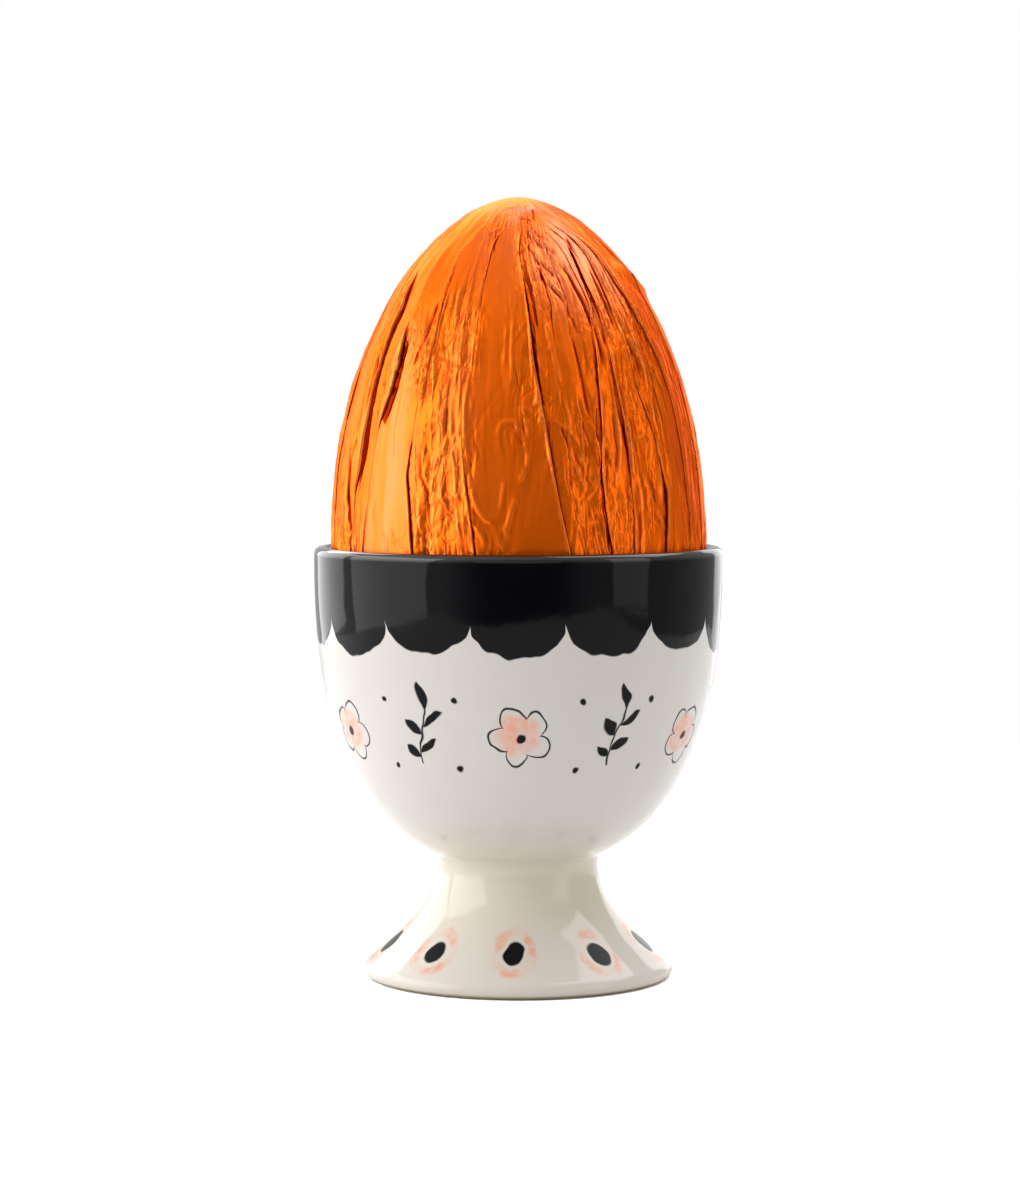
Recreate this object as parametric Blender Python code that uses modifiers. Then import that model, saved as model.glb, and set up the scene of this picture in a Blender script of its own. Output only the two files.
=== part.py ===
"""A chocolate egg wrapped in orange foil, standing in a footed ceramic egg cup.

Metres, +Z up, front towards -Y. The origin is on the table, under the centre of the cup's foot.
The egg is one solid and the cup is another. The egg hangs in the mouth of the cup by its widest part.
"""

import math

import bmesh
import bpy

MM = 0.001

# Cup: heights are above the table.
CUP_HEIGHT = 58.2 * MM
RIM_RADIUS = 27.5 * MM
RIM_WALL = 1.8 * MM
BOWL_DEPTH = 42.5 * MM
CUP_FLOOR = 19.8 * MM
NECK_RADIUS = 10.85 * MM
NECK_TOP = 15.2 * MM
FOOT_RADIUS = 21.0 * MM
FOOT_EDGE = 1.2 * MM
FOOT_RING = 3.0 * MM
RECESS_DEPTH = 1.8 * MM
CUP_STEPS = 60

# Fillet between bowl and neck: how much wider than the neck the bowl's curve ends, and the pulls
# (outwards and along the axis) that draw the fillet's curve at its two ends.
SHOULDER_STEP = 1.3 * MM
SHOULDER_PULL = (0.4 * MM, 0.3 * MM)
NECK_PULL = 0.8 * MM

# Flare from the neck to the foot: its pulls at the neck and at the foot, and the slope of the foot's
# edge where the flare meets it, in degrees.
FLARE_NECK_PULL = 4.6 * MM
FLARE_FOOT_PULL = (5.6 * MM, 4.5 * MM)
FOOT_EDGE_SLOPE = 49
RECESS_SLANT = 0.6 * MM

# Points that each stretch of the cup's section gets.
INSIDE_POINTS = 11
LIP_POINTS = 7
OUTSIDE_POINTS = 12
FILLET_POINTS = 3
FLARE_POINTS = 8
EDGE_POINTS = 6

# How full the bowl's curve is: the two powers of a superellipse, outside and inside.
BOWL_OUTSIDE = (2.45, 0.40)
BOWL_INSIDE = (2.45, 0.42)

# Egg: its widest level is just under the rim, with a thin gap all round.
RIM_GAP = 0.3 * MM
EGG_RADIUS = RIM_RADIUS - RIM_WALL - RIM_GAP
EGG_LEVEL = 57.0 * MM
EGG_TIP_HEIGHT = 48.0 * MM
EGG_BLUNT_DEPTH = 29.0 * MM
EGG_TIP_CURVE = (2.1, 0.56)
EGG_BLUNT_CURVE = (2.2, 0.50)
EGG_ROWS = 30

# Main pleats of the foil, anticlockwise from +X seen from above: where each fold's edge lies,
# in degrees, and how far the foil drops behind that edge.
PLEATS = (
    (14, 0.30), (36, 0.42), (54, 0.38), (67, 0.30), (78, 0.30), (99, 0.45),
    (114, 0.35), (129, 0.40), (148, 0.30), (161, 0.42), (178, 0.36), (193, 0.30),
    (206, 0.50), (220, 0.40), (235, 0.42), (247, 0.30), (255, 0.36), (267, 0.26),
    (282, 0.46), (291, 0.34), (300, 0.40), (306, 0.36), (324, 0.44), (346, 0.36),
)
FOLD_EDGE = 1.2
COLUMNS_PER_PLEAT = 3

# The middle column of a pleat: how far across the pleat it lies, and its share of the dip.
PLEAT_MIDDLE = 0.42
PLEAT_MIDDLE_DIP = 0.4
CREASE_ANGLE = 35


def clear_scene():
    for obj in list(bpy.data.objects):
        bpy.data.objects.remove(obj, do_unlink=True)


def make_collection(name):
    collection = bpy.data.collections.new(name)
    bpy.context.scene.collection.children.link(collection)
    return collection


def make_material(name, colour, roughness, metallic):
    material = bpy.data.materials.new(name)
    material.use_nodes = True
    shader = material.node_tree.nodes["Principled BSDF"]
    shader.inputs["Base Color"].default_value = (*colour, 1.0)
    shader.inputs["Roughness"].default_value = roughness
    shader.inputs["Metallic"].default_value = metallic
    return material


def add_mesh_object(name, mesh, material, collection):
    obj = bpy.data.objects.new(name, mesh)
    mesh.materials.append(material)
    collection.objects.link(obj)
    return obj


# ---------------------------------------------------------------- profiles


def superellipse(radius, share, curve):
    """Radius at a share, 0 to 1, of the way from the widest level to the end of the axis."""
    sharpness, fullness = curve
    return radius * max(0.0, 1.0 - share**sharpness) ** fullness


def arc(centre, radius, start_deg, end_deg, count):
    """Points of a round stretch, both ends included."""
    points = []
    for i in range(count):
        angle = math.radians(start_deg + (end_deg - start_deg) * i / (count - 1))
        points.append((centre[0] + radius * math.cos(angle), centre[1] + radius * math.sin(angle)))
    return points


def bezier(p0, p1, p2, p3, count):
    """Points of a cubic curve, without its first one."""
    points = []
    for i in range(1, count + 1):
        t = i / count
        s = 1.0 - t
        weights = (s**3, 3 * s * s * t, 3 * s * t * t, t**3)
        points.append(tuple(sum(w * p[k] for w, p in zip(weights, (p0, p1, p2, p3))) for k in (0, 1)))
    return points


def bowl_wall(radius, top, depth, curve, last_radius, count):
    """The bowl's wall from its mouth down to where it has narrowed to last_radius."""
    sharpness, fullness = curve
    last_share = (1.0 - (last_radius / radius) ** (1.0 / fullness)) ** (1.0 / sharpness)
    turn = math.asin(last_share)
    points = []
    for i in range(count):
        share = math.sin(turn * i / (count - 1))
        points.append((superellipse(radius, share, curve), top - depth * share))
    return points


def cup_profile():
    """Half section of the cup: up the inside, over the lip, down the outside, and under the foot."""
    lip = RIM_WALL / 2
    wall_top = CUP_HEIGHT - lip
    inner_radius = RIM_RADIUS - RIM_WALL
    inside = bowl_wall(inner_radius, wall_top, wall_top - CUP_FLOOR, BOWL_INSIDE, 0.0, INSIDE_POINTS)
    rim = arc((RIM_RADIUS - lip, wall_top), lip, 180, 0, LIP_POINTS)
    shoulder = NECK_RADIUS + SHOULDER_STEP
    outside = bowl_wall(RIM_RADIUS, wall_top, BOWL_DEPTH, BOWL_OUTSIDE, shoulder, OUTSIDE_POINTS)
    neck = (NECK_RADIUS, NECK_TOP)
    fillet = bezier(
        outside[-1],
        (NECK_RADIUS + SHOULDER_PULL[0], outside[-1][1] - SHOULDER_PULL[1]),
        (NECK_RADIUS, NECK_TOP + NECK_PULL),
        neck,
        FILLET_POINTS,
    )
    edge = arc((FOOT_RADIUS - FOOT_EDGE, FOOT_EDGE), FOOT_EDGE, FOOT_EDGE_SLOPE, -90, EDGE_POINTS)
    flare = bezier(
        neck,
        (NECK_RADIUS, NECK_TOP - FLARE_NECK_PULL),
        (edge[0][0] - FLARE_FOOT_PULL[0], edge[0][1] + FLARE_FOOT_PULL[1]),
        edge[0],
        FLARE_POINTS,
    )
    ring_inside = FOOT_RADIUS - FOOT_EDGE - FOOT_RING
    underside = [
        (ring_inside, 0.0),
        (ring_inside - RECESS_SLANT, RECESS_DEPTH),
        (0.0, RECESS_DEPTH),
    ]
    return inside[::-1] + rim[1:-1] + outside + fillet + flare + edge[1:] + underside


# ---------------------------------------------------------------- solids


def make_cup(collection):
    """The cup: its half section turned about the axis."""
    points = cup_profile()
    mesh = bpy.data.meshes.new("egg_cup")
    edges = [(i, i + 1) for i in range(len(points) - 1)]
    mesh.from_pydata([(radius, 0.0, height) for radius, height in points], edges, [])
    glaze = make_material("glazed_ceramic", (0.86, 0.83, 0.78), 0.08, 0.0)
    cup = add_mesh_object("egg_cup", mesh, glaze, collection)
    screw = cup.modifiers.new("Turn", "SCREW")
    screw.axis = "Z"
    screw.steps = CUP_STEPS
    screw.render_steps = CUP_STEPS
    screw.use_merge_vertices = True
    screw.merge_threshold = 0.01 * MM
    screw.use_smooth_shade = True
    return cup


def egg_radius(height):
    """Radius of the egg's envelope at a height above its widest level."""
    if height >= 0:
        return superellipse(EGG_RADIUS, height / EGG_TIP_HEIGHT, EGG_TIP_CURVE)
    return superellipse(EGG_RADIUS, -height / EGG_BLUNT_DEPTH, EGG_BLUNT_CURVE)


def foil_columns():
    """(azimuth, dip) of each column of the foil, in degrees and metres: three to a pleat.

    Behind a fold's edge the foil starts at its deepest, and it rises to the next fold's edge.
    """
    columns = []
    for i, (azimuth, dip) in enumerate(PLEATS):
        following = PLEATS[(i + 1) % len(PLEATS)][0] + (360 if i + 1 == len(PLEATS) else 0)
        width = following - azimuth
        columns.append((azimuth, dip * MM))
        columns.append((azimuth + PLEAT_MIDDLE * width, PLEAT_MIDDLE_DIP * dip * MM))
        columns.append((azimuth + width - FOLD_EDGE, 0.0))
    return columns


def make_egg(collection):
    """The wrapped egg: a sphere drawn out to the egg's profile, with the foil's pleats in its columns."""
    columns = foil_columns()
    count = COLUMNS_PER_PLEAT * len(PLEATS)
    form = bmesh.new()
    bmesh.ops.create_uvsphere(form, u_segments=count, v_segments=EGG_ROWS, radius=1.0)
    for vertex in form.verts:
        latitude = max(-1.0, min(1.0, vertex.co.z))
        height = latitude * (EGG_TIP_HEIGHT if latitude >= 0 else EGG_BLUNT_DEPTH)
        turn = math.atan2(vertex.co.y, vertex.co.x) / (2 * math.pi)
        azimuth, dip = columns[round(turn * count) % count]
        # The pleats run out at both ends, where the foil lies flat over the chocolate.
        radius = egg_radius(height) - dip * (1.0 - latitude**4)
        vertex.co.x = radius * math.cos(math.radians(azimuth))
        vertex.co.y = radius * math.sin(math.radians(azimuth))
        vertex.co.z = height
    mesh = bpy.data.meshes.new("foil_egg")
    form.to_mesh(mesh)
    form.free()
    mesh.shade_smooth()
    mesh.set_sharp_from_angle(angle=math.radians(CREASE_ANGLE))
    foil = make_material("orange_foil", (0.78, 0.22, 0.02), 0.35, 1.0)
    egg = add_mesh_object("foil_egg", mesh, foil, collection)
    egg.location.z = EGG_LEVEL
    return egg


def main():
    clear_scene()
    collection = make_collection("chocolate_egg_in_cup")
    make_cup(collection)
    make_egg(collection)


main()
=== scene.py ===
"""Looks of a foil-wrapped chocolate egg in its footed ceramic egg cup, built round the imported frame.

Lengths are in millimetres, and MM turns them into metres where a mesh or a light is made.
An azimuth is in degrees from the front (-Y), positive towards the right (+X). A height is above the
table. An arc is a length along the egg's profile, from its tip.
"""

import math

import bpy
import numpy as np
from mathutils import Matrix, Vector, noise
from mathutils.bvhtree import BVHTree
from mathutils.geometry import delaunay_2d_cdt


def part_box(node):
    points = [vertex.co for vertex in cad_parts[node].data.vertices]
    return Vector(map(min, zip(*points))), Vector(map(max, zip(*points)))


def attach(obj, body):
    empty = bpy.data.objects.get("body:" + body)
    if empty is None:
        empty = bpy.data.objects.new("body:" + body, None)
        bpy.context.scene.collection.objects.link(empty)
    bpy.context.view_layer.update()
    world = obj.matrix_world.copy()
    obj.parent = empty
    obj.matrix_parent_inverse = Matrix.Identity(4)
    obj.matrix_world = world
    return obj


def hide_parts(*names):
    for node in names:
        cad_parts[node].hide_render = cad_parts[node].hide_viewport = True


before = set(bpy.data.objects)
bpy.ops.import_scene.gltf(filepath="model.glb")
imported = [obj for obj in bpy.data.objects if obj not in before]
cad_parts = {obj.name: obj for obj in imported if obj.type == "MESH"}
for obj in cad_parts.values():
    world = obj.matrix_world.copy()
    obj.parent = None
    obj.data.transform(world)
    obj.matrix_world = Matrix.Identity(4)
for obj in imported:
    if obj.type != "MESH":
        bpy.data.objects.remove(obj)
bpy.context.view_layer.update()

MM = 0.001


def box_mm(node):
    return [[value / MM for value in corner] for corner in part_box(node)]


# ---------------- the egg's form

EGG_LOW, EGG_HIGH = box_mm("foil_egg")
_, CUP_HIGH = box_mm("egg_cup")
RIM_RADIUS = CUP_HIGH[0]
RIM_WALL = 1.8
RIM_GAP = 0.3
RIM_HEIGHT = CUP_HIGH[2]

# The egg is widest at its level, with a longer tip above and a blunt end below. Each end's curve has a
# sharpness and a fullness.
EGG_RADIUS = RIM_RADIUS - RIM_WALL - RIM_GAP
BLUNT_DEPTH = 29.0
EGG_LEVEL = EGG_LOW[2] + BLUNT_DEPTH
TIP_HEIGHT = EGG_HIGH[2] - EGG_LEVEL
TIP_CURVE = (2.1, 0.56)
BLUNT_CURVE = (2.2, 0.50)


def running_total(steps):
    """0 and then the sums of the steps so far."""
    return np.concatenate([[0], np.cumsum(steps)])


def egg_radius(height):
    """Radius of the egg's envelope at heights above the table."""
    above = np.clip((height - EGG_LEVEL) / TIP_HEIGHT, 0, 1)
    below = np.clip((EGG_LEVEL - height) / BLUNT_DEPTH, 0, 1)
    tip = (1 - above ** TIP_CURVE[0]) ** TIP_CURVE[1]
    blunt = (1 - below ** BLUNT_CURVE[0]) ** BLUNT_CURVE[1]
    return EGG_RADIUS * np.where(height >= EGG_LEVEL, tip, blunt)


def egg_profile(count=4000):
    """Heights, radii and arcs of close points down the egg's profile, tip first."""
    turn = np.linspace(0, math.pi, count)
    height = EGG_LEVEL + np.cos(turn) * np.where(turn <= math.pi / 2, TIP_HEIGHT, BLUNT_DEPTH)
    radius = egg_radius(height)
    radius[[0, -1]] = 0
    return height, radius, running_total(np.hypot(np.diff(radius), np.diff(height)))


HEIGHTS, RADII, ARCS = egg_profile()
EGG_ARC = ARCS[-1]
LEVEL_ARC = float(np.interp(-EGG_LEVEL, -HEIGHTS, ARCS))


def arc_at(height):
    return np.interp(-np.asarray(height, float), -HEIGHTS, ARCS)


def smooth(value, low, high):
    """0 at low and 1 at high, with a soft start and end."""
    t = np.clip((value - low) / (high - low), 0, 1)
    return t * t * (3 - 2 * t)


# ---------------- the foil's folds

# Each fold of the foil that the front shows: its depth, which way it laps (1: its lip points right,
# -1: left), the (height, azimuth) points that its edge runs through, from the tip down, and the
# depth's share at heights, where the fold opens and closes.
FRONT_FOLDS = (
    (0.30, 1, ((105, -84), (85, -78), (58, -76)), ((98, 0), (90, 0.3), (80, 0.7), (70, 0.5), (58, 0.3))),
    (0.95, 1, ((105, -66), (91, -61), (84, -62), (76, -60), (68, -59), (58, -61)),
     ((95, 0), (90, 0.7), (82, 1), (70, 1), (65, 0.25), (58, 0.2))),
    (0.40, 1, ((105, -50), (87, -48), (81, -48), (75, -50), (58, -53)),
     ((88, 0), (84.5, 1), (78, 1), (74, 0.15), (70, 0))),
    (0.30, 1, ((105, -36), (93, -34), (86, -33), (79, -34), (68, -36), (62, -34), (58, -33)),
     ((80, 0), (74, 0.06), (70, 0.5), (66, 0.8), (58, 1))),
    (0.26, 1, ((105, -24), (94, -21), (84, -20), (74, -18), (67, -16), (62, -14), (58, -13)),
     ((99, 0.05), (92, 0.15), (86, 0.2), (71, 0.2), (67, 0.8), (58, 1))),
    (1.00, 1, ((105, -3), (97, 0), (93, 2), (87, 4), (83, 5), (78, 7), (69, 10), (64, 12), (58, 15)),
     ((102, 0.1), (96, 0.3), (93, 0.7), (90, 1), (72, 0.8), (66, 0.5), (58, 0.4))),
    (0.34, -1, ((105, 18), (99, 26), (91, 31), (84, 29), (76, 27.5), (68, 25.5), (64, 27), (58, 29)),
     ((102, 0.2), (92, 0.5), (86, 0.4), (82, 1), (66, 1), (58, 0.8))),
    (0.30, -1, ((105, 30), (100, 33.5), (93, 33), (89, 35), (84, 34), (76, 35), (71, 36), (58, 36.5)),
     ((100, 0.5), (94, 1), (89, 0.8), (84, 0.3), (80, 0.8), (74, 1), (68, 0.4), (58, 0.5))),
    (0.30, -1, ((105, 40), (92, 42), (80, 43), (75, 46), (70, 49.5), (66, 51.5), (58, 50)),
     ((98, 0.4), (92, 0.8), (86, 0.5), (80, 0.4), (70, 0.8), (62, 1), (58, 0.8))),
    (0.28, -1, ((105, 48), (96, 50), (92, 53), (88, 57), (84, 60), (76, 62), (58, 63)),
     ((101, 0.1), (93, 0.9), (86, 1), (78, 0.3), (68, 0.5), (58, 0.4))),
    (0.20, -1, ((105, 72), (90, 76), (58, 75)), ((103, 0.3), (92, 0.9), (58, 0.8))),
)

# The folds round the sides and the back: azimuth and depth.
BACK_FOLDS = (
    (90, 0.34), (104, 0.36), (117, 0.30), (130, 0.44), (144, 0.38), (157, 0.32), (168, 0.40), (181, 0.30),
    (193, 0.46), (204, 0.36), (219, 0.40), (229, 0.30), (240, 0.44), (252, 0.38), (266, 0.34),
)

# Their edges wander by rule: by how many degrees, over about how many millimetres, and a seed.
BACK_WANDERS = ((3.2, 16, 0), (1.2, 5, 40))

# The share of their depth varies: its middle, its change, over about how many millimetres, a seed and
# its limits. They open between two arcs.
BACK_SHARE = (0.75, 0.45, 9, 80)
BACK_SHARE_LIMITS = (0.15, 1.2)
BACK_OPENING = (7, 22)

# The foil at a fold's edge overhangs and stands up by this much, in full from the open depth on.
LIP_LAP = 0.10
LIP_RISE = 0.10
OPEN_DEPTH = 0.3

# Part of a fold's depth is a groove along its edge, and the rest a slope right across the panel.
GROOVE_SHARE = 0.62
GROOVE_WIDTH = 0.42

# Between two folds the foil is pulled flat: how much of the egg's curve it loses, and at most how deep.
FLATNESS = 0.6
MOST_FLAT = 0.28

# The gathering point of the folds lies a little in front of the egg's tip.
GATHER = np.array([1.0, -5.6])
GATHER_REACH = 17.0

# A fold in foil bends over a few of the grid's rows.
BEND_ROWS = 4


def wander(position, seed):
    """Smooth random numbers, about -1 to 1, along a list of positions."""
    return np.array([noise.noise(Vector((p, seed, 0.5 * seed))) * 1.6 for p in position])


def back_fold(arcs, number, azimuth, depth):
    """Azimuth, depth and lap of a fold that runs by rule."""
    seed = 11.3 + 2.7 * number
    for degrees, period, shift in BACK_WANDERS:
        azimuth = azimuth + degrees * wander(arcs / period, seed + shift)
    middle, change, period, shift = BACK_SHARE
    share = middle + change * wander(arcs / period, seed + shift)
    lap = -1 if number % 4 == 2 else 1
    return azimuth, depth * np.clip(share, *BACK_SHARE_LIMITS) * smooth(arcs, *BACK_OPENING), lap


def fold_paths(arcs):
    """Azimuth, depth and lap of every fold at each row's arc, in order round the egg."""
    heights = np.interp(arcs, ARCS, HEIGHTS)
    paths = []
    for depth, lap, path, shares in FRONT_FOLDS:
        at, azimuth = np.array(path[::-1], float).T
        azimuth = np.interp(arcs, arc_at(at[::-1]), azimuth[::-1])
        at, share = np.array(shares[::-1], float).T
        paths.append((azimuth, depth * np.interp(heights, at, share), lap))
    for number, (azimuth, depth) in enumerate(BACK_FOLDS):
        paths.append(back_fold(arcs, number, azimuth, depth))
    kernel = np.hanning(2 * BEND_ROWS + 1)
    kernel /= kernel.sum()
    return [
        (np.convolve(np.pad(azimuth, BEND_ROWS, mode="edge"), kernel, mode="valid"), depth, lap)
        for azimuth, depth, lap in paths
    ]


# ---------------- the foil's grid

ROW_STEP = 0.30
HIDDEN_ROW_STEP = 2.2
FRONT_COLUMN_STEP = 0.17
BACK_COLUMN_STEP = 0.20
VISIBLE_HEIGHT = RIM_HEIGHT - 2.5

# The columns close to a fold, and where the even ones start, in millimetres from it.
EDGE_COLUMNS = np.array([0.0, 0.08, 0.18])
EVEN_START = 0.32

# The columns of a panel sway: by how many millimetres, over about how many millimetres, and a seed.
PANEL_SWAYS = ((0.55, 11, 3.1), (0.16, 3.2, 53.1))

# The arcs between which the folds come in below the tip.
FOLD_START = (1.5, 13)


def row_arcs():
    """Arcs of the grid's rows: close above the rim, coarser where the cup hides the egg."""
    turn = float(arc_at(VISIBLE_HEIGHT))
    shown = np.linspace(0, turn, round(turn / ROW_STEP))
    hidden = np.linspace(turn, EGG_ARC, round((EGG_ARC - turn) / HIDDEN_ROW_STEP))
    return np.concatenate([shown[1:], hidden[1:-1]])


def column_shares(number, width):
    """Shares 0 to 1 across a panel for its columns: close at both edges, even between."""
    inner = np.linspace(EVEN_START, width - EVEN_START, number - 2 * len(EDGE_COLUMNS))
    return np.concatenate([EDGE_COLUMNS, inner, width - EDGE_COLUMNS[::-1]]) / width


def before_end(arc, reach):
    """1 as far as a distance before the egg's lower end, and 0 close to the end."""
    return 1 - smooth(arc, EGG_ARC - reach, EGG_ARC - 2)


def open_share(depth):
    """How far a fold's lip stands out, 0 to 1, as a share of the most, at depths of the fold."""
    return np.minimum(1, depth / OPEN_DEPTH)


def edge_depth(depth, below):
    """How deep a panel's edge lies at a fold: below the lip, or raised where it is the lip itself."""
    return depth if below else -LIP_RISE * open_share(depth)


class FoilGrid:
    """The foil's vertices in rows and columns, with the columns running along the folds."""

    def __init__(self):
        self.row_arc = row_arcs()
        self.row_radius = np.interp(self.row_arc, ARCS, RADII)
        self.fade = smooth(self.row_arc, *FOLD_START) * before_end(self.row_arc, 12)
        folds = fold_paths(self.row_arc)
        azimuth, depth, lap = folds[0]
        ends = folds[1:] + [(azimuth + 360, depth, lap)]
        panels = [self.make_panel(k, start, end) for k, (start, end) in enumerate(zip(folds, ends))]
        self.azimuth, self.offset, self.slide, self.hollow = (np.hstack(parts) for parts in zip(*panels))
        # The first column past the front's folds.
        self.seam = sum(panel[0].shape[1] for panel in panels[:len(FRONT_FOLDS)])
        self.across = np.radians(np.median(self.azimuth, axis=0)) * EGG_RADIUS
        self.place()

    def make_panel(self, number, fold, next_fold):
        """Azimuths, offsets, slides and hollows of the columns between two folds."""
        start, start_depth, start_lap = fold
        end, end_depth, end_lap = next_fold
        width = np.radians(end - start) * self.row_radius
        even_width = math.radians(float(np.median(end - start))) * EGG_RADIUS
        column_step = FRONT_COLUMN_STEP if number < len(FRONT_FOLDS) else BACK_COLUMN_STEP
        even_share = column_shares(max(8, round(even_width / column_step)), even_width)
        sway = sum(most * wander(self.row_arc / reach, seed + number) for most, reach, seed in PANEL_SWAYS)
        sway = sway / np.maximum(width, 1) * self.fade
        share = even_share + 4 * even_share * (1 - even_share) * sway[:, None]
        groove_start = edge_depth(start_depth, start_lap > 0)[:, None]
        groove_end = edge_depth(end_depth, end_lap < 0)[:, None]
        from_start = share * width[:, None]
        from_end = (1 - share) * width[:, None]
        sharp = (
            GROOVE_SHARE * groove_start * np.exp(-from_start / GROOVE_WIDTH)
            + GROOVE_SHARE * groove_end * np.exp(-from_end / GROOVE_WIDTH)
        )
        slope = (1 - GROOVE_SHARE) * (groove_start * (1 - share) + groove_end * share)
        sag = np.minimum(FLATNESS * width**2 / (8 * EGG_RADIUS), MOST_FLAT) * self.fade
        fade = self.fade[:, None]
        offset = -(sharp + slope) * fade - 4 * share * (1 - share) * sag[:, None]
        slide = np.zeros_like(share)
        if start_lap < 0:
            slide[:, 0] -= LIP_LAP * self.fade * open_share(start_depth)
        if end_lap > 0:
            slide[:, -1] += LIP_LAP * self.fade * open_share(end_depth)
        return start[:, None] + share * (end - start)[:, None], offset, slide, sharp * fade

    def place(self):
        """Points of the egg's envelope for the grid, with the folds drawn together where they gather."""
        turn = np.radians(self.azimuth)
        pull = (1 - smooth(self.row_arc, 0, GATHER_REACH))[:, None]
        across = self.row_radius[:, None] * np.sin(turn) + GATHER[0] * pull
        along = -self.row_radius[:, None] * np.cos(turn) + GATHER[1] * pull
        upper = ARCS <= LEVEL_ARC
        self.arc = np.where(
            (self.row_arc < GATHER_REACH)[:, None],
            np.interp(np.hypot(across, along), RADII[upper], ARCS[upper]),
            self.row_arc[:, None],
        )
        self.height = np.interp(self.arc, ARCS, HEIGHTS)
        self.radius = np.interp(self.arc, ARCS, RADII)
        self.turn = np.arctan2(across, -along)
        self.normal_out = -np.interp(self.arc, ARCS, np.gradient(HEIGHTS, ARCS))
        self.normal_up = np.interp(self.arc, ARCS, np.gradient(RADII, ARCS))

    def points(self, offset):
        """Vertex positions with an offset along the envelope's normal."""
        radius = self.radius + offset * self.normal_out
        height = self.height + offset * self.normal_up
        x = radius * np.sin(self.turn) + self.slide * np.cos(self.turn)
        y = -radius * np.cos(self.turn) + self.slide * np.sin(self.turn)
        return np.stack([x, y, height], -1)


# ---------------- the foil's relief

# Places that stay smooth and places that are crushed: azimuth, height, half extents in degrees and
# millimetres, and how much they change the crumpling.
SMOOTH_PLACES = (
    (-8, 80, 7, 13, 1.0), (6, 62, 8, 7, 1.0), (-8, 66, 5, 5, 0.8), (-42, 74, 6, 12, 0.9),
    (-47, 62, 9, 6, 0.8), (17, 78, 6, 8, 0.9), (45, 100, 30, 5, 1.0), (-44, 97, 20, 9, 1.0),
    (-10, 97, 8, 5, 0.8), (44, 60, 8, 4, 0.7), (60, 70, 8, 6, 0.5), (30, 74, 4, 5, 0.6),
    (-73, 82, 9, 12, 0.8), (-55, 88, 6, 8, 0.8), (14, 97, 10, 6, 0.4),
)
CRUSHED_PLACES = (
    (-27, 85, 5, 9, 1.0), (-25, 67, 9, 9, 1.0), (22, 68, 8, 9, 1.0), (-20, 94, 5, 6, 0.6),
    (42, 68, 7, 9, 0.7), (-62, 60, 6, 6, 0.7), (55, 86, 9, 9, 0.7), (0, 72, 7, 3, 0.35),
    (62, 62, 6, 7, 0.6), (33, 86, 8, 8, 0.6),
)

# Elsewhere the crumpling varies in patches of about this many millimetres, from this much to 1.
PATCH_SIZE = 9.0
LEAST_CRUMPLING = 0.38

# Places where a painted highlight makes the colour paler, in the same way: their last number is how pale.
HIGHLIGHT_PLACES = (
    (-48, 69, 14, 17, 0.46), (-25, 74, 9, 20, 0.15), (-76, 76, 14, 22, 0.4), (36, 99, 26, 8, 1.35),
    (-10, 100, 25, 4, 0.3),
)

# A painted highlight also makes the colour paler towards the tip: how pale, and between which heights that
# comes in.
HIGHLIGHT_HEIGHTS = ((0.12, 86, 98), (1.5, 99.5, 103.8))


def in_places(grid, places):
    azimuth = np.degrees(grid.turn)
    total = np.zeros_like(grid.arc)
    for centre, height, wide, tall, weight in places:
        away = ((azimuth - centre) / wide) ** 2 + ((grid.height - height) / tall) ** 2
        total = np.maximum(total, weight * np.exp(-0.7 * away**1.5))
    return total


def noise_field(points, scale, seed):
    """Smooth random numbers in space, about -1 to 1, at points in millimetres."""
    flat = points.reshape(-1, 3) / scale + 17.3 * seed
    return np.array([noise.noise(Vector(p)) for p in flat.tolist()]).reshape(points.shape[:-1])


def facets(grid, spacing, stretch, seed):
    """Heights, -1 to 1, of a sheet of flat facets drawn out along the egg's profile."""
    rng = np.random.default_rng(seed)
    inner = (ARCS > 1.5) & (ARCS < EGG_ARC - 1.5)
    arcs, radii = ARCS[inner], RADII[inner]
    # In these coordinates, azimuth against the integral of 1/radius, a round surface keeps its angles.
    along = running_total(np.diff(arcs) / radii[1:])
    area = running_total(np.diff(arcs) * radii[1:])
    count = int(2 * math.pi * area[-1] / (spacing**2 * stretch))
    azimuth = rng.uniform(-math.pi, math.pi, count)
    place = np.interp(rng.random(count), area / area[-1], along) / stretch
    rise = rng.uniform(-1, 1, count)
    margin = 0.5
    left = azimuth > math.pi - margin
    right = azimuth < margin - math.pi
    azimuth = np.concatenate([azimuth, azimuth[left] - 2 * math.pi, azimuth[right] + 2 * math.pi])
    place = np.concatenate([place, place[left], place[right]])
    rise = np.concatenate([rise, rise[left], rise[right]])
    corners, _, triangles, sources, _, _ = delaunay_2d_cdt(
        [Vector(p) for p in zip(azimuth.tolist(), place.tolist())], [], [], 0, 1e-7
    )
    heights = [float(rise[source[0]]) for source in sources]
    sheet = BVHTree.FromPolygons([(p.x, p.y, h) for p, h in zip(corners, heights)], triangles)
    where = np.interp(grid.arc, arcs, along) / stretch
    down = Vector((0, 0, -1))
    found = []
    for x, y in zip(grid.turn.ravel().tolist(), where.ravel().tolist()):
        hit = sheet.ray_cast(Vector((x, y, 4)), down)[0]
        found.append(hit.z if hit else 0.0)
    return np.array(found).reshape(grid.arc.shape)


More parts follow.
